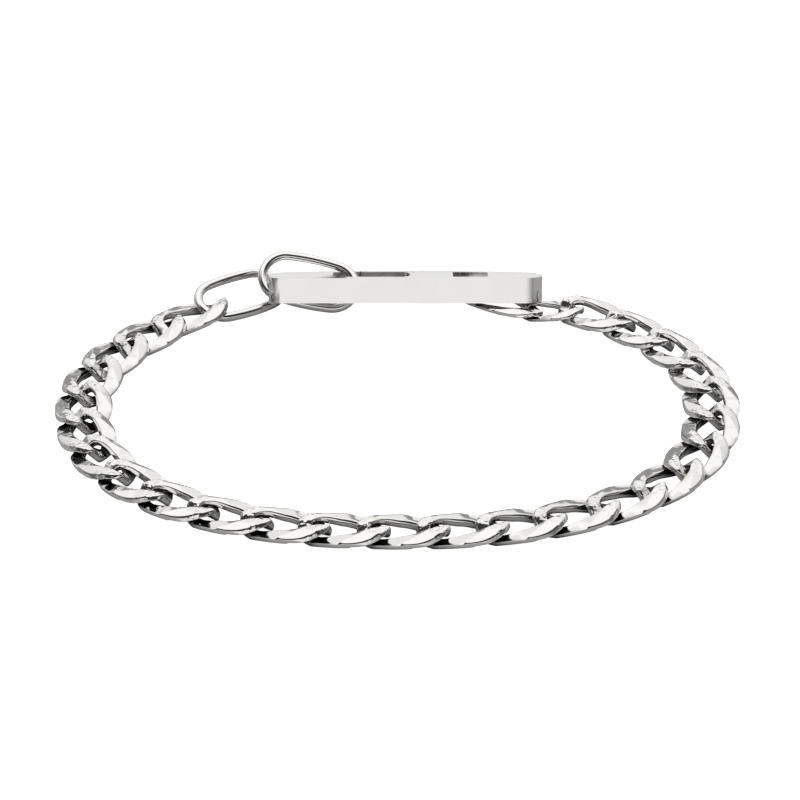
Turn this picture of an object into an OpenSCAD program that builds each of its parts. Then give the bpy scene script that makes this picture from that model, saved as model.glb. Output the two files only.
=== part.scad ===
// A chain bracelet lying closed on a surface, with a snap clasp at the back. Sizes in mm.
// The loop lies in the XY plane with the clasp at +Y, and the surface is at z = 0.

/* [Loop] */
// Half length of the loop from left to right, along the middle of the links
loop_half_length = 33.45; // [33.35:0.05:33.55]
// Half depth of the loop from front to back, along the middle of the links
loop_half_depth = 26.65; // [26.55:0.05:26.75]
// Fullness of the front half: 2 is an ellipse, more is squarer
front_fullness = 2.24; // [2.22:0.01:2.26]
// Fullness of the back half
back_fullness = 2.02; // [2:0.01:2.04]
// Turn of the whole oval, in degrees
loop_turn = -0.6; // [-1:0.1:0]
// Where the first link lies, before the left end of the oval
first_link_before = 22.77; // [22.7:0.01:22.8]
// Distance from one link to the next, along the loop
pitch = 6; // [5.99:0.01:6.02]
// Where the middle of the bracelet's box lies from the middle of the oval, left to right
middle_x = -0.0004; // [-0.5:0.0005:0.5]
// Where the middle of the bracelet's box lies from the middle of the oval, front to back
middle_y = -0.6154; // [-1:0.0005:1]

/* [Chain link] */
// Length of a link
link_length = 9.45; // [9.4:0.01:9.46]
// Width of a link
link_width = 6.13; // [6.1:0.01:6.16]
// Height of a link, between its flat top and bottom
link_height = 1.8; // [1.75:0.01:1.82]
// Turn of each end of a link about the chain's direction, in degrees
link_twist = 40.7; // [40.5:0.1:41]
// How late the turn comes: 1 is even from the middle out, more is nearer the ends
twist_delay = 1.3; // [1.28:0.01:1.32]
// Squareness of a link's oval
link_fullness = 2.68; // [2.66:0.01:2.72]
// Width of the wire along the link's sides
side_width = 1.72; // [1.7:0.01:1.74]
// Width of the wire at the link's ends
end_width = 1.47; // [1.45:0.01:1.48]
// Height of the wire along the link's sides
side_height = 0.95; // [0.94:0.01:0.96]
// Height of the wire at the link's ends
end_height = 0.8; // [0.78:0.01:0.82]
// Half width of the flat on top of a link
flat_half_width = 1.81; // [1.79:0.01:1.83]
// Half height of a link at its outermost edges
edge_half_height = 0.27; // [0.26:0.01:0.28]
// Least height that the wire keeps where a link's ends are pressed flat
pressed_height = 0.46; // [0.45:0.01:0.48]
// Turn of each link against the loop, seen from above, in degrees
link_yaw = 2; // [1.8:0.1:2.2]
// How far the holes lean along the chain, as a share of the width
lean = 0.075; // [0.07:0.005:0.08]

/* [End links] */
// Length of the link round the clasp's bar
end_link_1_length = 9.888; // [9.86:0.01:9.92]
// Length of the link between it and the chain
end_link_2_length = 7.042; // [7.02:0.01:7.06]
// Width of both end links
end_link_width = 4.466; // [4.45:0.01:4.49]
// How wide the end links' wire is for their size, as a share of the chain's own
end_link_wire = 0.85; // [0.82:0.01:0.86]
// Height of both end links
end_link_height = 1.201; // [1.18:0.01:1.22]

/* [Oval rings] */
// Thickness of the rings' wire
ring_wire = 1.06; // [1.05:0.01:1.07]
// Outer length of the ring at the chain's end
ring_a_length = 11.081; // [11.05:0.01:11.11]
// Outer width of the ring at the chain's end
ring_a_width = 6.557; // [6.54:0.01:6.58]
// Outer length of the ring in the clasp
ring_b_length = 11.63; // [11.6:0.01:11.66]
// Outer width of the ring in the clasp
ring_b_width = 6.614; // [6.59:0.01:6.63]

/* [Clasp] */
// Length of the clasp
clasp_length = 30.6; // [30.5:0.05:30.7]
// Width of the clasp at its middle
clasp_width = 6; // [5.95:0.05:6.05]
// Height of the clasp
clasp_height = 2.83; // [2.8:0.01:2.85]
// How far the far side falls away towards the two ends
clasp_bow = 1.6; // [1.5:0.05:1.7]
// Thickness of the clasp's walls
clasp_wall = 1.1; // [1.05:0.01:1.12]
// Thickness of the bar across the short opening
bar_thickness = 0.9; // [0.85:0.01:0.94]
// Tilt of the clasp, its near side up, in degrees
clasp_tilt = 18.5; // [18.4:0.1:18.6]

/* [Gate] */
// Radius of the pin that the gate turns on
pin_radius = 0.45; // [0.4:0.01:0.5]
// Gap all round the pin in its bores
pin_gap = 0.03; // [0.02:0.01:0.05]
// Turn of the gate, in degrees: 0 is shut
gate_turn = 0; // [0:1:20]

/* [Hidden] */
$fn = 64;
floor_below = link_height / 2;
steel = "Silver";

// Places and turns of the parts at the back, from the middle of the oval
link_1_lift = [-0.13, 0.062, 0.17];
link_1_turn = [-1.917, -5.172, -0.085];
link_25_lift = [0.205, -0.058, 0.016];
link_25_turn = [0.541, -0.312, 0.009];
ring_a_at = [-17.681, 24.201, 0.579];
ring_a_turn = [19.902, -0.58, 32.76];
ring_b_at = [-9.943, 24.932, 1.869];
ring_b_turn = [37.46, 9.091, -9.194];
end_link_1_at = [11.503, 22.847, 0.374];
end_link_1_turn = [-5.237, -9.232, 164.311];
end_link_2_at = [17.233, 21.756, -0.158];
end_link_2_turn = [0.507, 1.856, 179.843];
clasp_at = [-14.45, 21.35, clasp_width * sin(clasp_tilt) - link_height / 2];

// Places inside the clasp, from its near left corner
opening_start = 7.2;
opening_end = 15.8;
short_start = 20.6;
short_end = 24.5;
near_left_radius = 1.4;
near_right_radius = 2.2;
far_left_radius = 2.2;
far_right_radius = 2.4;
// How far a far corner's circle reaches past the bowed side, so that the two cross cleanly
corner_reach = 0.005;
bar_at = [23.532, 0.507];
flange_start = 2;
hollow_end = 28.9;
hollow_height = 2;
hinge_at = [16.6, 4.85];
knuckle_radius = 1.2;
fork = [0.8, 2.03];
joint_line = [[10, 4.2], [10.3, 5.2], [10.75, 5.2], [11.2, 6.4]];
joint_gap = [0.12, -0.08];
side_gap = 0.08;

function link_name(i) = str("link_", i < 10 ? "0" : "", i);

// A squared oval's point at angle t
function oval(t, a, b, n) = [a * sign(cos(t)) * pow(abs(cos(t)), 2 / n),
    b * sign(sin(t)) * pow(abs(sin(t)), 2 / n)];

// Running length at each of a line of points
function lengths(p) = [for (i = 0, s = 0; i < len(p);
    s = s + norm(p[min(i + 1, len(p) - 1)] - p[i]), i = i + 1) s];

// The point at length s along a line of points with running lengths r
function along(s, p, r) = [lookup(s, [for (i = [0:len(p) - 1]) [r[i], p[i].x]]),
    lookup(s, [for (i = [0:len(p) - 1]) [r[i], p[i].y]])];

function turned(p, a) = [p.x * cos(a) - p.y * sin(a), p.x * sin(a) + p.y * cos(a)];

// The loop starts at its left end and runs along the front
loop_points = [for (t = [180:0.5:540]) turned(oval(t, loop_half_length, loop_half_depth,
    sin(t) > 0 ? back_fullness : front_fullness), loop_turn)];
loop_lengths = lengths(loop_points);
loop_total = loop_lengths[len(loop_lengths) - 1];
function on_loop(s) = along(s < 0 ? s + loop_total : s, loop_points, loop_lengths);
function heading(s) = let (d = on_loop(s + 0.5) - on_loop(s - 0.5)) atan2(d.y, d.x);

module shifted() translate([-middle_x, -middle_y, floor_below]) children();

// The link's wire runs round an oval; each end of the oval is turned about the chain's direction,
// and the whole is pressed to a flat top and bottom with sloping edges.
stations = 24;
wire_sides = 12;
// How far past the wire's middle at a link's ends the turn still grows
end_reach = 1.12;
// Least height of the wire under a sloping edge, as a share of the edge's height above the middle
edge_share = 1.6;
// The line along the wire's middle: how far it reaches, and its evenly spaced points
function wire_reach(wire) = (link_length - end_width * wire) / 2;
function wire_line(wire) = let (
        fine = [for (t = [0:0.5:360])
            oval(t, wire_reach(wire), (link_width - side_width * wire) / 2, link_fullness)],
        s = lengths(fine))
    [for (k = [0:stations - 1]) along(k / stations * s[len(s) - 1], fine, s)];

// The wire's section: each point's share of the wire's half width, outer side first, and half height
section = [[1, 0.5], [0.5, 1], [-0.77, 1], [-1, 0.5], [-1, -0.5], [-0.77, -1], [0.5, -1], [1, -0.5]];

function clip(v, limit) = max(-limit, min(limit, v));

// A point q of the oval, a share of the wire's half height h above it, once turned and pressed
function pressed(q, share, h, reach) = let (
        f = clip(q.x / reach, end_reach),
        turn = -link_twist * sign(f) * pow(abs(f), twist_delay),
        y = clip(q.y * cos(turn) - share * h * sin(turn), link_width / 2),
        fall = max(0, (abs(y) - flat_half_width) / (link_width / 2 - flat_half_width)),
        top = link_height / 2 - (link_height / 2 - edge_half_height) * fall,
        kept = min(pressed_height, edge_share * top),
        z = q.y * sin(turn) + share * h * cos(turn))
    [q.x - lean * y, y, max(kept * (1 + share) / 2 - top, min(top - kept * (1 - share) / 2, z))];

// The section's points at station k of a line, its wire a share as wide as the chain's own
function link_ring(line, k, wire) = let (
        d = line[(k + 1) % stations] - line[(k + stations - 1) % stations],
        out = [d.y, -d.x] / norm(d),
        mix = out.y * out.y,
        w = wire * (end_width + (side_width - end_width) * mix) / 2,
        h = (end_height + (side_height - end_height) * mix) / 2)
    [for (s = section) pressed(line[k] + s.x * w * out, s.y, h, wire_reach(wire))];

// The skin of a closed wire drawn as a number of rings of points, each with the same sides
function skin(rings, sides) = [for (k = [0:rings - 1], j = [0:sides - 1])
    let (a = sides * k + j, b = sides * k + (j + 1) % sides, next = sides * ((k + 1) % rings),
        c = next + (j + 1) % sides, d = next + j)
    each [[a, b, c], [a, c, d]]];

module twisted_link(length, width, height, wire) {
    line = wire_line(wire);
    polyhedron([for (k = [0:stations - 1], p = link_ring(line, k, wire))
        [p.x * length / link_length, p.y * width / link_width, p.z * height / link_height]],
        skin(stations, len(section)));
}

// The first link is lifted a little by the ring that it hangs on, the last is drawn to the end links
module chain_link(i) {
    s = (i - 1) * pitch - first_link_before;
    lift = i == 1 ? link_1_lift : i == 25 ? link_25_lift : [0, 0, 0];
    turn = i == 1 ? link_1_turn : i == 25 ? link_25_turn : [0, 0, 0];
    color(steel) shifted() translate([on_loop(s).x, on_loop(s).y, 0] + lift)
        rotate(turn) rotate([0, 0, heading(s) + link_yaw])
            twisted_link(link_length, link_width, link_height, 1);
}

// The end links follow the chain's last link and climb to the clasp's bar
module end_link_1()
    color(steel) shifted() translate(end_link_1_at) rotate(end_link_1_turn)
        twisted_link(end_link_1_length, end_link_width, end_link_height, end_link_wire);

module end_link_2()
    color(steel) shifted() translate(end_link_2_at) rotate(end_link_2_turn)
        twisted_link(end_link_2_length, end_link_width, end_link_height, end_link_wire);

// Each of a round bend's points, with its outward direction
function bend(centre, r, from, to, steps) = [for (i = [0:steps - 1])
    let (t = from + (to - from) * i / steps) [centre + r * [cos(t), sin(t)], t]];

// A round wire bent to an oval of four arcs, lying flat, long along x
module oval_ring(length, width) {
    a = (length - ring_wire) / 2;
    b = (width - ring_wire) / 2;
    r = b - 0.15;
    side_radius = (pow(a - r, 2) + b * b - r * r) / (2 * (b - r));
    half = atan2(side_radius - b, a - r);
    line = concat(bend([a - r, 0], r, -half, half, 14),
        bend([0, b - side_radius], side_radius, half, 180 - half, 10),
        bend([r - a, 0], r, 180 - half, 180 + half, 14),
        bend([0, side_radius - b], side_radius, 180 + half, 360 - half, 10));
    polyhedron([for (p = line, j = [0:wire_sides - 1])
        let (out = ring_wire / 2 * cos(360 * j / wire_sides), up = ring_wire / 2 * sin(360 * j / wire_sides))
        [p[0].x + out * cos(p[1]), p[0].y + out * sin(p[1]), up]], skin(len(line), wire_sides));
}

module oval_ring_a()
    color(steel) shifted() translate(ring_a_at) rotate(ring_a_turn)
        oval_ring(ring_a_length, ring_a_width);

module oval_ring_b()
    color(steel) shifted() translate(ring_b_at) rotate(ring_b_turn)
        oval_ring(ring_b_length, ring_b_width);

// The clasp is drawn lying flat with its near left corner at the origin
module in_clasp_place() shifted() translate(clasp_at) rotate([-clasp_tilt, 0, 0]) children();

bow_radius = (pow(clasp_length / 2, 2) + pow(clasp_bow, 2)) / (2 * clasp_bow);

module inside_bow(inset)
    translate([clasp_length / 2, clasp_width - bow_radius]) circle(bow_radius - inset, $fn = 720);

// What rounding takes away at a square corner at the origin
module near_corner(r)
    difference() {
        translate([-1, -1]) square(r + 1);
        translate([r, r]) circle(r);
    }

// What rounding takes away where the left end meets the bowed side
module far_corner(r) {
    d = [r - clasp_length / 2,
        sqrt(pow(bow_radius - r + corner_reach, 2) - pow(clasp_length / 2 - r, 2))];
    c = [r, clasp_width - bow_radius + d.y];
    difference() {
        polygon([c, [-1, c.y], [-1, clasp_width + 1], c + 3 * r * d / norm(d)]);
        translate(c) circle(r);
    }
}

module flipped() translate([clasp_length, 0]) mirror([1, 0]) children();

module outline()
    difference() {
        intersection() {
            square([clasp_length, clasp_width + 1]);
            inside_bow(0);
        }
        near_corner(near_left_radius);
        far_corner(far_left_radius);
        flipped() near_corner(near_right_radius);
        flipped() far_corner(far_right_radius);
    }

// An opening between the near wall and the far wall
module opening(start, end, r)
    intersection() {
        union() {
            translate([start + r, clasp_wall]) square([end - start - 2 * r, clasp_width]);
            translate([start, clasp_wall + r]) square([end - start, clasp_width]);
            translate([start + r, clasp_wall + r]) circle(r);
            translate([end - r, clasp_wall + r]) circle(r);
        }
        inside_bow(clasp_wall);
    }

// Everything between the stepped joint and the hinge, on the far side
module gate_side(gap)
    polygon(concat([for (p = joint_line) p + gap],
        [[hinge_at.x, joint_line[3].y], [hinge_at.x, joint_line[0].y]]));

module at_hinge(r) translate(hinge_at) circle(r);

module clasp_frame()
    color(steel) in_clasp_place() {
        difference() {
            linear_extrude(clasp_height) difference() {
                outline();
                opening(short_start, short_end, 0.3);
                difference() {
                    union() {
                        opening(opening_start, opening_end, 1.2);
                        gate_side([0, 0]);
                    }
                    at_hinge(knuckle_radius);
                }
            }
            // the slot between the hinge's two cheeks
            translate([0, 0, fork[0]]) linear_extrude(fork[1] - fork[0]) {
                at_hinge(knuckle_radius);
                translate([hinge_at.x - knuckle_radius, hinge_at.y]) square([2 * knuckle_radius, 2]);
            }
            // the hollows under the two ends, the left one open to the left
            translate([0, 0, -1]) linear_extrude(hollow_height + 1) {
                opening(-2, opening_start + 2, 0.3);
                opening(short_start, hollow_end, 0.9);
                translate([-1, clasp_wall]) square([flange_start + 1, clasp_width]);
            }
            translate([hinge_at.x, hinge_at.y, -1])
                cylinder(h = clasp_height + 2, r = pin_radius + pin_gap);
        }
        translate([bar_at.x, clasp_wall - 0.3, bar_at.y]) rotate([-90, 0, 0])
            cylinder(h = clasp_width - 2 * clasp_wall, d = bar_thickness);
    }

module gate_band()
    difference() {
        intersection() {
            outline();
            gate_side(joint_gap);
        }
        inside_bow(clasp_wall);
    }

module clasp_gate()
    color(steel) in_clasp_place() translate(hinge_at) rotate([0, 0, gate_turn]) translate(-hinge_at)
        difference() {
            union() {
                linear_extrude(clasp_height) difference() {
                    gate_band();
                    at_hinge(knuckle_radius + 0.12);
                }
                translate([0, 0, fork[0] + side_gap]) linear_extrude(fork[1] - fork[0] - 2 * side_gap) {
                    gate_band();
                    at_hinge(knuckle_radius - 0.15);
                }
            }
            translate([hinge_at.x, hinge_at.y, -1])
                cylinder(h = clasp_height + 2, r = pin_radius + pin_gap);
        }

module hinge_pin()
    color(steel) in_clasp_place() translate(hinge_at) cylinder(h = clasp_height, r = pin_radius);

for (i = [1:25]) chain_link(i);
end_link_1();
end_link_2();
oval_ring_a();
oval_ring_b();
clasp_frame();
clasp_gate();
hinge_pin();
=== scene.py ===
"""A chain bracelet in polished steel, lying closed on a pale floor, in soft studio light.

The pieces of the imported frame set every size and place. The chain's links and the oval rings are
modelled again here as smooth wire, and the clasp gets its softened edges. Lengths are in mm until
a piece is put in its place, which is in metres.
"""
import math

import bmesh
import bpy
from mathutils import Euler, Matrix, Vector
from mathutils.bvhtree import BVHTree


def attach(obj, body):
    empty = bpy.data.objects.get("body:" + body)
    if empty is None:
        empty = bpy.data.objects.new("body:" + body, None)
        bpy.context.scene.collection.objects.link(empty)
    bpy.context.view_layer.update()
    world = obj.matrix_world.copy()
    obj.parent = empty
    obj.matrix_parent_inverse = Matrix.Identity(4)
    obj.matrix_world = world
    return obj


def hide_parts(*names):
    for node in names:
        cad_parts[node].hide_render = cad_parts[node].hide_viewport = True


MM = 0.001

# Middle of the oval that the links follow, on the chain's mid-plane, in the frame's axes
OVAL_MIDDLE = Vector((0.0004, 0.6154, 0.9)) * MM

# Camera: height above the horizon, distance from the oval's middle and framing
CAMERA_HEIGHT = math.radians(28.893)
CAMERA_DISTANCE = 420 * MM
NEAREST_SEEN = 10 * MM
IMAGE_SIZE = 800
FOCAL_PIXELS = 3935.9
PRINCIPAL_POINT = (397.80, 403.906)
SENSOR = 36.0

# The loop that the links follow. An oval's fullness is 2 for an ellipse, and more is squarer.
LOOP_HALF_LENGTH = 33.45
LOOP_HALF_DEPTH = 26.65
FRONT_FULLNESS = 2.24
BACK_FULLNESS = 2.02
LOOP_TURN = math.radians(-0.6)
FIRST_LINK_BEFORE = 22.77
PITCH = 6.0
LINK_COUNT = 25
OVAL_STEPS = 720
# How far to either side of a link's middle the loop is read for the way that the link looks
LINK_LOOKS = 0.5

# A link: its length, width and height, its turn in the chain, its oval, and its wire's width and
# height at the sides and at the ends
LINK_SIZE = (9.45, 6.13, 1.8)
LINK_YAW = math.radians(2)
LINK_FULLNESS = 2.68
SIDE_WIRE = (1.72, 0.95)
END_WIRE = (1.47, 0.8)
# Each end's turn about the chain, how late it comes, and the share of the half length past which it
# grows no more
LINK_TWIST = math.radians(40.7)
TWIST_DELAY = 1.3
TWIST_LIMIT = 1.12
# Pressing: what is left of the wire's height, the flat's half width, half the height between the
# dies at the chain's very side, the most that the wire keeps as a share of half the height there,
# how much the link leans, how softly the flats begin and how much sooner the wire fills them
PRESSED_HEIGHT = 0.46
FLAT_HALF_WIDTH = 1.81
EDGE_HALF_HEIGHT = 0.27
EDGE_KEPT = 1.6
LEAN = 0.075
PRESS_SOFTNESS = 0.04
PRESS_FULLER = 1.35
# Upper corners of the wire's section as shares of its half width and half height, outer side first,
# and how far each corner is rounded
SECTION_CORNERS = (((1, 0.58), 0.2), ((0.74, 1), 0.12), ((-0.8, 1), 0.16), ((-1, 0.45), 0.3))
CORNER_STEPS = 4
LINK_STATIONS = 112
# Points closer than these are taken as lying in a cut, and as one point. Faces thinner than the
# last are taken out.
SCORE_REACH = 1e-5
LINK_MERGE = 0.004
LINK_SLIVER = 0.002
# The plain hoop that a wire is bent from, where the wire's radius is 1: the hoop's own radius, and the
# distance within which the rolled sheet's edges are joined
HOOP_RADIUS = 3
HOOP_SEAM = 0.001

# Painted shade in the crevices: how far it looks for a neighbour or the floor, in how many ways,
# how far off the wire it starts, how much the furthest neighbour shuts off and how flat a look still
# counts
CREVICE_REACH = 3.0
CREVICE_WAYS = 160
CREVICE_START = 0.03
CREVICE_FAR_SHARE = 0.5
CREVICE_FLATTEST = 0.05
# The floor that the painted shade looks for: its half size and how far it is under the link
CREVICE_FLOOR = 30
CREVICE_FLOOR_BELOW = 0.02

# Where a link's ends are rubbed: from how far along and how high up, and over what length
RUBBED_ALONG = (2.4, 0.8)
RUBBED_HIGH = (0.2, 0.4)

# The first and last link, out of the line of the others: shift, and turn in degrees
OUTER_LINKS = {
    1: ((-0.13, 0.062, 0.17), (-1.917, -5.172, -0.085)),
    25: ((0.205, -0.058, 0.016), (0.541, -0.312, 0.009)),
}
# Small links and rings at the two ends of the chain: place of the middle, turn in degrees, size
END_LINK_WIRE = 0.85
END_LINKS = {
    "end_link_1": ((11.503, 22.847, 0.374), (-5.237, -9.232, 164.311), (9.888, 4.466, 1.201)),
    "end_link_2": ((17.233, 21.756, -0.158), (0.507, 1.856, 179.843), (7.042, 4.466, 1.201)),
}
OVAL_RINGS = {
    "oval_ring_a": ((-17.681, 24.201, 0.579), (19.902, -0.58, 32.76), (11.081, 6.557)),
    "oval_ring_b": ((-9.943, 24.932, 1.869), (37.46, 9.091, -9.194), (11.63, 6.614)),
}
RING_WIRE = 1.06
# How much less than half the width the bend of a ring's end is
RING_END_TIGHTER = 0.15
RING_STATIONS = 112
RING_SIDES = 20
RING_ARC_STEPS = 90
RING_LOOKS = 0.1

# The clasp's solids: merging distance, widest angle still taken as flat, narrowest angle taken as
# an edge, and the width of the rounding
CLASP_MERGE = 0.002
CLASP_FLAT = math.radians(0.5)
CLASP_EDGE = math.radians(30)
EDGE_ROUNDING = {"clasp_frame": 0.12, "clasp_gate": 0.1}
ROUNDING_STEPS = 3

# Steel: its own colour and the painted shade's, the shut-off shares between which the painted shade
# deepens, and the sizes of buffing smears and of dents
STEEL_COLOUR = "EDECEA"
PAINTED_SHADE_COLOUR = "1C1B1A"
PAINTED_SHADE_SHARES = (0.42, 0.85)
SMEAR_SIZE = 2.5
DENT_SIZE = 0.55
DENT_DEPTH = 0.11

# Floor: half size in metres, its white and what a mirror finds of it near the bracelet. Behind the
# bracelet, between these two distances from the middle, what a mirror finds turns white.
FLOOR_HALF_SIZE = 3.0
FLOOR_WHITE = 0.9
FLOOR_MIRRORED = 0.36
FLOOR_TURNS_WHITE = (34, 44)

# The tent's light, and the zones that take some of it away. Each zone fades in and fades out over
# spans of degrees above the horizon, then over spans of degrees to either side of the front, with
# None where it has no limit. Last comes how much it takes away.
TENT_LIGHT = 1.12
DARK_ZONES = (
    # The gap that the camera looks through
    (((14, 20), (61, 67)), (None, (70, 100)), 0.96),
    # The black flags at the two sides
    ((None, (24, 40)), ((8, 76), (94, 162)), 0.88),
    # The back wall, low down
    ((None, (12, 22)), ((135, 150), None), 0.72),
)
DIM_ZONES = (
    # The front wall, low down
    (((-9, -1), (13, 21)), (None, (60, 90)), 0.14),
    # The walls half way up, apart from straight behind
    (((9, 21), (42, 54)), (None, (175, 178.5)), 0.18),
)


def linear(hex_colour):
    """An sRGB colour such as "D9D8D4" as the linear numbers that a shader takes."""
    channels = [int(hex_colour[i:i + 2], 16) / 255 for i in (0, 2, 4)]
    return [c / 12.92 if c <= 0.04045 else ((c + 0.055) / 1.055) ** 2.4 for c in channels] + [1.0]


def add_node(tree, kind, inputs=None, **settings):
    """Adds a node with its own settings. Each input takes a value, or a link from a socket."""
    node = tree.nodes.new(kind)
    for name, value in settings.items():
        setattr(node, name, value)
    for key, value in (inputs or {}).items():
        socket = node.inputs[key]
        if isinstance(value, bpy.types.NodeSocket):
            tree.links.new(value, socket)
        else:
            socket.default_value = value
    return node


def steel(name, smooth, dull):
    """Stainless steel: near white where it mirrors the tent, with painted shade darkening its colour in
    the crevices, and small dents where the links' raised ends rub. Its roughness wanders from smooth to
    dull."""
    material = bpy.data.materials.new(name)
    material.use_nodes = True
    tree = material.node_tree
    tree.nodes.clear()
    place = add_node(tree, "ShaderNodeTexCoord").outputs["Object"]
    smears = add_node(tree, "ShaderNodeTexNoise", {
        "Vector": place, "Scale": 1 / (SMEAR_SIZE * MM), "Detail": 3.0})
    roughness = add_node(tree, "ShaderNodeMapRange", {
        "Value": smears.outputs["Fac"], "From Min": 0.3, "From Max": 0.7,
        "To Min": smooth, "To Max": dull})
    dents = add_node(tree, "ShaderNodeTexNoise", {
        "Vector": place, "Scale": 1 / (DENT_SIZE * MM), "Detail": 1.0})
    worn = add_node(tree, "ShaderNodeAttribute", attribute_name="rubbed")
    depth = add_node(tree, "ShaderNodeMath", {0: dents.outputs["Fac"], 1: worn.outputs["Fac"]},
                     operation="MULTIPLY")
    bump = add_node(tree, "ShaderNodeBump", {
        "Height": depth.outputs[0], "Distance": DENT_DEPTH * MM, "Strength": 1.0})
    # Painted shade: the colour turns near black where the next links and the floor shut off most of the
    # outlook
    crevice_shade = add_node(tree, "ShaderNodeAttribute", attribute_name="crevice_shade")
    painted_shade = add_node(tree, "ShaderNodeMapRange", {
        "Value": crevice_shade.outputs["Fac"], "From Min": PAINTED_SHADE_SHARES[0], "From Max": PAINTED_SHADE_SHARES[1],
        "To Min": 0.0, "To Max": 1.0}, interpolation_type="SMOOTHSTEP")
    colour = add_node(tree, "ShaderNodeMix", {
        0: painted_shade.outputs["Result"], 6: linear(STEEL_COLOUR), 7: linear(PAINTED_SHADE_COLOUR)},
        data_type="RGBA")
    shader = add_node(tree, "ShaderNodeBsdfPrincipled", {
        "Base Color": colour.outputs[2], "Metallic": 1.0, "Roughness": roughness.outputs["Result"],
        "Normal": bump.outputs["Normal"]})
    add_node(tree, "ShaderNodeOutputMaterial", {"Surface": shader.outputs["BSDF"]})
    return material


def clip(value, limit):
    """The value, held between the limit and its opposite."""
    return max(-limit, min(limit, value))


def ramp(value, start, over):
    """Rises from 0 at the start to 1 after the length given."""
    return max(0.0, min(1.0, (value - start) / over))


def squared_oval(angle, half_length, half_width, fullness):
    """A point of an oval whose corners are fuller than an ellipse's."""
    c = math.cos(angle)
    s = math.sin(angle)
    return Vector((half_length * math.copysign(abs(c) ** (2 / fullness), c),
                   half_width * math.copysign(abs(s) ** (2 / fullness), s)))


class Line:
    """A line of points that is read by its running length."""

    def __init__(self, points):
        self.points = points
        self.lengths = [0.0]
        for a, b in zip(points, points[1:]):
            self.lengths.append(self.lengths[-1] + (b - a).length)
        self.total = self.lengths[-1]

    def at(self, s):
        """The point at a running length, which goes on from the line's end to its start."""
        s = s % self.total
        low = 0
        high = len(self.points) - 1
        while high - low > 1:
            middle = (low + high) // 2
            if self.lengths[middle] <= s:
                low = middle
            else:
                high = middle
        share = (s - self.lengths[low]) / (self.lengths[high] - self.lengths[low])
        return self.points[low].lerp(self.points[high], share)

    def outward(self, s, reach):
        """The way out of the line's inside, square to it, at a running length."""
        ahead = self.at(s + reach) - self.at(s - reach)
        return Vector((ahead.y, -ahead.x)).normalized()


def chain_loop():
    """The closed line that the middles of the links follow, from its left end round the front."""
    points = []
    for step in range(OVAL_STEPS + 1):
        angle = math.pi + 2 * math.pi * step / OVAL_STEPS
        fullness = BACK_FULLNESS if math.sin(angle) > 0 else FRONT_FULLNESS
        p = squared_oval(angle, LOOP_HALF_LENGTH, LOOP_HALF_DEPTH, fullness)
        points.append(Matrix.Rotation(LOOP_TURN, 2) @ p)
    return Line(points)


def bent_wire(stations, sides):
    """A plain round hoop of wire, rolled from a flat sheet, with each point's place along and round the
    wire."""
    bm = bmesh.new()
    bmesh.ops.create_grid(bm, x_segments=stations, y_segments=sides, size=math.pi)
    for v in bm.verts:
        along, around = v.co.xy
        reach = HOOP_RADIUS + math.cos(around)
        v.co = (reach * math.cos(along), reach * math.sin(along), math.sin(around))
    bmesh.ops.remove_doubles(bm, verts=bm.verts[:], dist=HOOP_SEAM)
    bmesh.ops.recalc_face_normals(bm, faces=bm.faces[:])
    places = []
    for v in bm.verts:
        along = (math.atan2(v.co.y, v.co.x) / (2 * math.pi)) % 1.0
        places.append((along, math.hypot(v.co.x, v.co.y) - HOOP_RADIUS, v.co.z))
    return bm, places


def wire_section():
    """The rounded corners of the wire's section, once round from the outer side's upper corner."""
    upper = [(Vector(corner), reach) for corner, reach in SECTION_CORNERS]
    corners = upper + [(Vector((c.x, -c.y)), reach) for c, reach in reversed(upper)]
    points = []
    for i, (corner, reach) in enumerate(corners):
        before = corners[i - 1][0]
        after = corners[(i + 1) % len(corners)][0]
        start = corner + (before - corner).normalized() * reach
        end = corner + (after - corner).normalized() * reach
        for k in range(CORNER_STEPS):
            f = k / (CORNER_STEPS - 1)
            points.append(start.lerp(corner, f).lerp(corner.lerp(end, f), f))
    return points


def score(bm, point, normal):
    """Cuts a line of edges where a plane crosses the piece, without taking anything away."""
    bmesh.ops.bisect_plane(bm, geom=bm.verts[:] + bm.edges[:] + bm.faces[:], dist=SCORE_REACH,
                           plane_co=point, plane_no=normal)


def softly_below(value, limit):
    """The value or the limit, whichever is less, with a rounded change from one to the other."""
    over = value - (limit - PRESS_SOFTNESS)
    if over <= 0:
        return value
    if over >= 2 * PRESS_SOFTNESS:
        return limit
    return value - over ** 2 / (4 * PRESS_SOFTNESS)


def twisted_link(wire=1.0):
    """A link of wire bent to an oval, each end turned about the chain, then pressed flat. The wire
    is a share as wide as the chain's own."""
    section = wire_section()
    bm, places = bent_wire(LINK_STATIONS, len(section))
    length, width, height = LINK_SIZE
    half_x = (length - END_WIRE[0] * wire) / 2
    half_y = (width - SIDE_WIRE[0] * wire) / 2
    line = Line([squared_oval(2 * math.pi * i / OVAL_STEPS, half_x, half_y, LINK_FULLNESS)
                 for i in range(OVAL_STEPS + 1)])
    level = bm.verts.layers.float.new("level")
    for v, (along, out, up) in zip(bm.verts, places):
        corner = section[round(math.atan2(up, out) / (2 * math.pi) * len(section)) % len(section)]
        s = along * line.total
        outward = line.outward(s, line.total / LINK_STATIONS)
        side_share = outward.y ** 2
        w = wire * (END_WIRE[0] + (SIDE_WIRE[0] - END_WIRE[0]) * side_share) / 2
        h = (END_WIRE[1] + (SIDE_WIRE[1] - END_WIRE[1]) * side_share) / 2
        q = line.at(s) + outward * w * corner.x
        z = h * corner.y
        v[level] = clip(corner.y * PRESS_FULLER, 1.0)
        share = clip(q.x / half_x, TWIST_LIMIT)
        turn = -LINK_TWIST * math.copysign(abs(share) ** TWIST_DELAY, share)
        v.co = (q.x, q.y * math.cos(turn) - z * math.sin(turn),
                q.y * math.sin(turn) + z * math.cos(turn))
    press(bm, level)
    return bm


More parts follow.
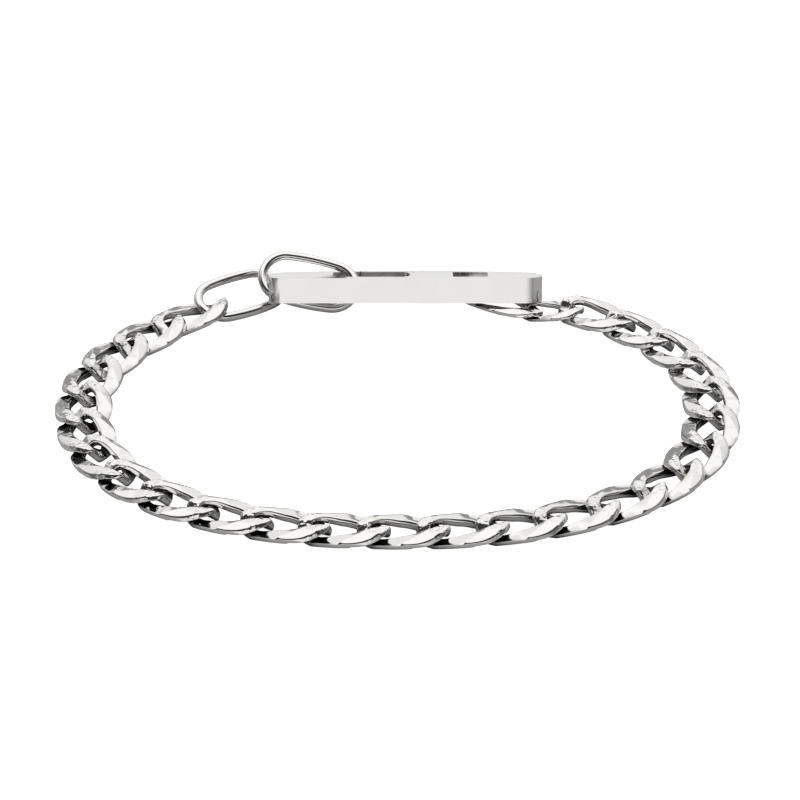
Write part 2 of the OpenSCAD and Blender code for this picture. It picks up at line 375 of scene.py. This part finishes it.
def press(bm, level):
    """Presses a twisted link between two flat dies whose edges fall away at the chain's sides. Each
    point keeps its level in the wire, so the wire gets thinner and never folds."""
    width, height = LINK_SIZE[1:]
    fall = (height / 2 - EDGE_HALF_HEIGHT) / (width / 2 - FLAT_HALF_WIDTH)
    for side in (-1, 1):
        score(bm, (0, side * FLAT_HALF_WIDTH, 0), (0, 1, 0))
        for depth in (-PRESS_SOFTNESS, 0, PRESS_SOFTNESS):
            die = side * (height / 2 + depth)
            score(bm, (0, 0, die), (0, 0, 1))
            for edge in (-1, 1):
                score(bm, (0, edge * FLAT_HALF_WIDTH, die), (0, edge * fall, side))
    for v in bm.verts:
        x, y, z = v.co
        y = clip(y, width / 2)
        top = height / 2 - fall * max(0, abs(y) - FLAT_HALF_WIDTH)
        kept = min(PRESSED_HEIGHT, EDGE_KEPT * top)
        z = softly_below(z, top - kept * (1 - v[level]) / 2)
        z = -softly_below(-z, top - kept * (1 + v[level]) / 2)
        v.co = (x - LEAN * y, y, z)
    bmesh.ops.remove_doubles(bm, verts=bm.verts[:], dist=LINK_MERGE)
    bmesh.ops.dissolve_degenerate(bm, dist=LINK_SLIVER, edges=bm.edges[:])


def ways_round():
    """Even directions all over a ball."""
    turn = math.pi * (3 - math.sqrt(5))
    ways = []
    for i in range(CREVICE_WAYS):
        up = 1 - (2 * i + 1) / CREVICE_WAYS
        flat = math.sqrt(1 - up * up)
        ways.append(Vector((flat * math.cos(turn * i), flat * math.sin(turn * i), up)))
    return ways


def paint_crevice_shade(bm):
    """Notes at each point of a link how much of its outlook the next links and the floor shut off,
    as painted shade that darkens the steel's colour there.
    """
    crowd = bmesh.new()
    for place in (-PITCH, 0, PITCH):
        other = bm.copy()
        bmesh.ops.translate(other, verts=other.verts[:], vec=(place, 0, 0))
        mesh = bpy.data.meshes.new("neighbour")
        other.to_mesh(mesh)
        other.free()
        crowd.from_mesh(mesh)
        bpy.data.meshes.remove(mesh)
    below = Matrix.Translation((0, 0, -LINK_SIZE[2] / 2 - CREVICE_FLOOR_BELOW))
    bmesh.ops.create_grid(crowd, x_segments=1, y_segments=1, size=CREVICE_FLOOR, matrix=below)
    tree = BVHTree.FromBMesh(crowd)
    ways = ways_round()
    crevice_shade = bm.verts.layers.float.new("crevice_shade")
    bm.normal_update()
    for v in bm.verts:
        start = v.co + v.normal * CREVICE_START
        shut = 0.0
        whole = 0.0
        for way in ways:
            share = way.dot(v.normal)
            if share > CREVICE_FLATTEST:
                whole += share
                distance = tree.ray_cast(start, way, CREVICE_REACH)[3]
                if distance is not None:
                    shut += share * (1 - (1 - CREVICE_FAR_SHARE) * distance / CREVICE_REACH)
        v[crevice_shade] = shut / whole
    crowd.free()


def oval_hoop(size):
    """A round wire bent to an oval of four arcs: two tight ends and two long sides."""
    bm, places = bent_wire(RING_STATIONS, RING_SIDES)
    half_length = (size[0] - RING_WIRE) / 2
    half_width = (size[1] - RING_WIRE) / 2
    end = half_width - RING_END_TIGHTER
    reach = half_length - end
    side = (reach ** 2 + half_width ** 2 - end ** 2) / (2 * (half_width - end))
    half = math.atan2(side - half_width, reach)
    arcs = (((reach, 0), end, -half, half),
            ((0, half_width - side), side, half, math.pi - half),
            ((-reach, 0), end, math.pi - half, math.pi + half),
            ((0, side - half_width), side, math.pi + half, 2 * math.pi - half))
    points = []
    for centre, radius, start, stop in arcs:
        for i in range(RING_ARC_STEPS):
            a = start + (stop - start) * i / RING_ARC_STEPS
            points.append(Vector(centre) + radius * Vector((math.cos(a), math.sin(a))))
    points.append(points[0])
    line = Line(points)
    for v, (along, out, up) in zip(bm.verts, places):
        s = along * line.total
        q = line.at(s) + line.outward(s, RING_LOOKS) * out * RING_WIRE / 2
        v.co = (q.x, q.y, up * RING_WIRE / 2)
    return bm


def settle(shape, node, place, turn, heading=0.0, size=LINK_SIZE, rubbed=True):
    """Puts a copy of a shape in its place on the oval, in metres, for one node of the bracelet."""
    bm = shape.copy()
    wear = bm.verts.layers.float.new("rubbed")
    if rubbed:
        for v in bm.verts:
            v[wear] = ramp(v.co.z, *RUBBED_HIGH) * ramp(abs(v.co.x), *RUBBED_ALONG)
    turned = Euler([math.radians(a) for a in turn], "XYZ").to_matrix().to_4x4()
    sized = Matrix.Diagonal([wanted / own for wanted, own in zip(size, LINK_SIZE)] + [1.0])
    matrix = (Matrix.Translation(OVAL_MIDDLE) @ Matrix.Scale(MM, 4) @ Matrix.Translation(place)
              @ turned @ Matrix.Rotation(heading, 4, "Z") @ sized)
    bmesh.ops.transform(bm, matrix=matrix, verts=bm.verts[:])
    finish_piece(bm, node + "_wire", POLISHED_STEEL, node, "bracelet")


def softened_copy(node, body):
    """The frame's own solid with its edges rounded, as buffing leaves them."""
    bm = bmesh.new()
    bm.from_mesh(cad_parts[node].data)
    bmesh.ops.remove_doubles(bm, verts=bm.verts[:], dist=CLASP_MERGE * MM)
    bmesh.ops.dissolve_limit(bm, angle_limit=CLASP_FLAT, verts=bm.verts[:], edges=bm.edges[:])
    sharp = [e for e in bm.edges if len(e.link_faces) == 2 and e.calc_face_angle() > CLASP_EDGE]
    bmesh.ops.bevel(bm, geom=sharp, offset=EDGE_ROUNDING[node] * MM, segments=ROUNDING_STEPS,
                    profile=0.5, affect="EDGES", clamp_overlap=True, material=-1)
    finish_piece(bm, node + "_polished", SATIN_STEEL, node, body)


def finish_piece(bm, name, material, node, body):
    """Makes the mesh an object with even shading, which rides on the body in the node's place."""
    mesh = bpy.data.meshes.new(name)
    for face in bm.faces:
        face.smooth = True
    bm.to_mesh(mesh)
    bm.free()
    mesh.materials.append(material)
    piece = bpy.data.objects.new(name, mesh)
    bpy.context.scene.collection.objects.link(piece)
    normals = piece.modifiers.new("even_normals", "WEIGHTED_NORMAL")
    normals.keep_sharp = True
    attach(piece, body)
    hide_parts(node)


def lay_chain():
    """Lays the 25 links along the loop, each in the next one's hole."""
    loop = chain_loop()
    shape = twisted_link()
    # Painted shade in the crevices, worked out once for one link between its two neighbours and the
    # floor
    paint_crevice_shade(shape)
    for number in range(1, LINK_COUNT + 1):
        s = (number - 1) * PITCH - FIRST_LINK_BEFORE
        here = loop.at(s)
        ahead = loop.at(s + LINK_LOOKS) - loop.at(s - LINK_LOOKS)
        shift, turn = OUTER_LINKS.get(number, ((0, 0, 0), (0, 0, 0)))
        settle(shape, "link_%02d" % number, here.to_3d() + Vector(shift), turn,
               heading=math.atan2(ahead.y, ahead.x) + LINK_YAW)


def lay_chain_ends():
    """Lays the two small links that hold the clasp's bar, and the two rings at its other end."""
    shape = twisted_link(END_LINK_WIRE)
    # Painted shade in the crevices of the small end links
    paint_crevice_shade(shape)
    for node, (place, turn, size) in END_LINKS.items():
        settle(shape, node, Vector(place), turn, size=size)
    for node, (place, turn, size) in OVAL_RINGS.items():
        settle(oval_hoop(size), node, Vector(place), turn, rubbed=False)


def camera():
    """The camera at the photograph's height, distance and framing."""
    data = bpy.data.cameras.new("camera")
    data.sensor_width = SENSOR
    data.lens = SENSOR * FOCAL_PIXELS / IMAGE_SIZE
    data.shift_x = (IMAGE_SIZE / 2 - PRINCIPAL_POINT[0]) / IMAGE_SIZE
    data.shift_y = (PRINCIPAL_POINT[1] - IMAGE_SIZE / 2) / IMAGE_SIZE
    data.clip_start = NEAREST_SEEN
    eye = bpy.data.objects.new("camera", data)
    bpy.context.scene.collection.objects.link(eye)
    away = Vector((0, -math.cos(CAMERA_HEIGHT), math.sin(CAMERA_HEIGHT)))
    eye.location = OVAL_MIDDLE + CAMERA_DISTANCE * away
    eye.rotation_euler = away.to_track_quat("Z", "Y").to_euler()
    bpy.context.scene.camera = eye


def white_acrylic():
    """Matt white acrylic, lit from below so evenly that no shadow shows. Polished metal mirrors it
    dim, as the shaded floor under a tent, up to some way behind the bracelet."""
    material = bpy.data.materials.new("white_acrylic")
    material.use_nodes = True
    tree = material.node_tree
    tree.nodes.clear()
    mirrored_ray = add_node(tree, "ShaderNodeLightPath").outputs["Is Glossy Ray"]
    glow = add_node(tree, "ShaderNodeMapRange", {
        "Value": mirrored_ray, "To Min": FLOOR_WHITE, "To Max": 0.0})
    place = add_node(tree, "ShaderNodeTexCoord").outputs["Object"]
    behind = add_node(tree, "ShaderNodeSeparateXYZ", {"Vector": place})
    mirrored = add_node(tree, "ShaderNodeMapRange", {
        "Value": behind.outputs["Y"],
        "From Min": FLOOR_TURNS_WHITE[0] * MM, "From Max": FLOOR_TURNS_WHITE[1] * MM,
        "To Min": FLOOR_MIRRORED, "To Max": FLOOR_WHITE})
    tint = add_node(tree, "ShaderNodeMapRange", {
        "Value": mirrored_ray, "To Min": FLOOR_WHITE, "To Max": mirrored.outputs["Result"]})
    shader = add_node(tree, "ShaderNodeBsdfPrincipled", {
        "Base Color": tint.outputs["Result"], "Roughness": 0.9,
        "Emission Color": linear("FFFFFF"), "Emission Strength": glow.outputs["Result"]})
    add_node(tree, "ShaderNodeOutputMaterial", {"Surface": shader.outputs["BSDF"]})
    return material


def floor():
    """The pale floor, level with the bracelet's base."""
    bm = bmesh.new()
    bmesh.ops.create_grid(bm, x_segments=1, y_segments=1, size=FLOOR_HALF_SIZE)
    mesh = bpy.data.meshes.new("floor")
    bm.to_mesh(mesh)
    bm.free()
    mesh.materials.append(white_acrylic())
    ground = bpy.data.objects.new("floor", mesh)
    bpy.context.scene.collection.objects.link(ground)


def light_taken(tree, height, spread, heights, spreads, most):
    """The light that one zone of the tent takes away, by the height and spread of a ray's way."""
    taken = most
    for way, (fade_in, fade_out) in ((height, heights), (spread, spreads)):
        for span, first, last in ((fade_in, 0.0, 1.0), (fade_out, 1.0, 0.0)):
            if span:
                fade = add_node(tree, "ShaderNodeMapRange", {
                    "Value": way, "From Min": span[0], "From Max": span[1],
                    "To Min": first, "To Max": last}, interpolation_type="SMOOTHSTEP")
                taken = add_node(tree, "ShaderNodeMath", {0: taken, 1: fade.outputs["Result"]},
                                 operation="MULTIPLY").outputs[0]
    return taken


def studio():
    """A white light tent with a dark gap for the camera and two dark flags at the sides. The zones
    show in mirrored light alone, and everything else is lit plain white."""
    world = bpy.data.worlds.new("tent")
    bpy.context.scene.world = world
    world.use_nodes = True
    tree = world.node_tree
    tree.nodes.clear()
    way = add_node(tree, "ShaderNodeTexCoord").outputs["Generated"]
    parts = add_node(tree, "ShaderNodeSeparateXYZ", {"Vector": way})
    rising = add_node(tree, "ShaderNodeMath", {0: parts.outputs["Z"]}, operation="ARCSINE")
    height = add_node(tree, "ShaderNodeMath", {0: rising.outputs[0]}, operation="DEGREES").outputs[0]
    sideways = add_node(tree, "ShaderNodeMath", {0: parts.outputs["X"]}, operation="ABSOLUTE")
    frontwards = add_node(tree, "ShaderNodeMath", {0: parts.outputs["Y"], 1: -1.0},
                          operation="MULTIPLY")
    turned = add_node(tree, "ShaderNodeMath", {0: sideways.outputs[0], 1: frontwards.outputs[0]},
                      operation="ARCTAN2")
    spread = add_node(tree, "ShaderNodeMath", {0: turned.outputs[0]}, operation="DEGREES").outputs[0]
    dark = 0.0
    for zone in DARK_ZONES:
        taken = light_taken(tree, height, spread, *zone)
        dark = add_node(tree, "ShaderNodeMath", {0: dark, 1: taken}, operation="MAXIMUM").outputs[0]
    light = TENT_LIGHT
    for zone in DIM_ZONES:
        taken = light_taken(tree, height, spread, *zone)
        light = add_node(tree, "ShaderNodeMath", {0: light, 1: taken}, operation="SUBTRACT").outputs[0]
    left = add_node(tree, "ShaderNodeMath", {0: 1.0, 1: dark}, operation="SUBTRACT")
    seen = add_node(tree, "ShaderNodeMath", {0: light, 1: left.outputs[0]}, operation="MULTIPLY")
    mirrored_ray = add_node(tree, "ShaderNodeLightPath").outputs["Is Glossy Ray"]
    plain = add_node(tree, "ShaderNodeBackground", {"Color": linear("FFFFFF"), "Strength": 1.0})
    tent = add_node(tree, "ShaderNodeBackground", {
        "Color": linear("FFFFFF"), "Strength": seen.outputs[0]})
    mix = add_node(tree, "ShaderNodeMixShader", {
        0: mirrored_ray, 1: plain.outputs[0], 2: tent.outputs[0]})
    add_node(tree, "ShaderNodeOutputWorld", {"Surface": mix.outputs[0]})
    bpy.context.scene.view_settings.view_transform = "Standard"


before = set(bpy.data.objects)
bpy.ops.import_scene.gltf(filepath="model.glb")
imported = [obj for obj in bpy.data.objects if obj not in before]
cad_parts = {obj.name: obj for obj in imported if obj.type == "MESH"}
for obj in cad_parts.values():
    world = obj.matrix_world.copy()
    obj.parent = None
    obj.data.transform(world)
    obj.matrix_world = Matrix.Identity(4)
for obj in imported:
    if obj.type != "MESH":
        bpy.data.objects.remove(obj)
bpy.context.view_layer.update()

# Tumbled and buffed wire: bright, with sharp dark lines at its edges
POLISHED_STEEL = steel("polished_steel", 0.05, 0.11)
# The clasp's finer grain: its flat walls shade off softly towards the rounded ends
SATIN_STEEL = steel("satin_steel", 0.13, 0.17)

camera()
floor()
studio()

lay_chain()
lay_chain_ends()
softened_copy("clasp_frame", "bracelet")
softened_copy("clasp_gate", "gate")
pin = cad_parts["hinge_pin"].data
pin.materials.clear()
pin.materials.append(POLISHED_STEEL)
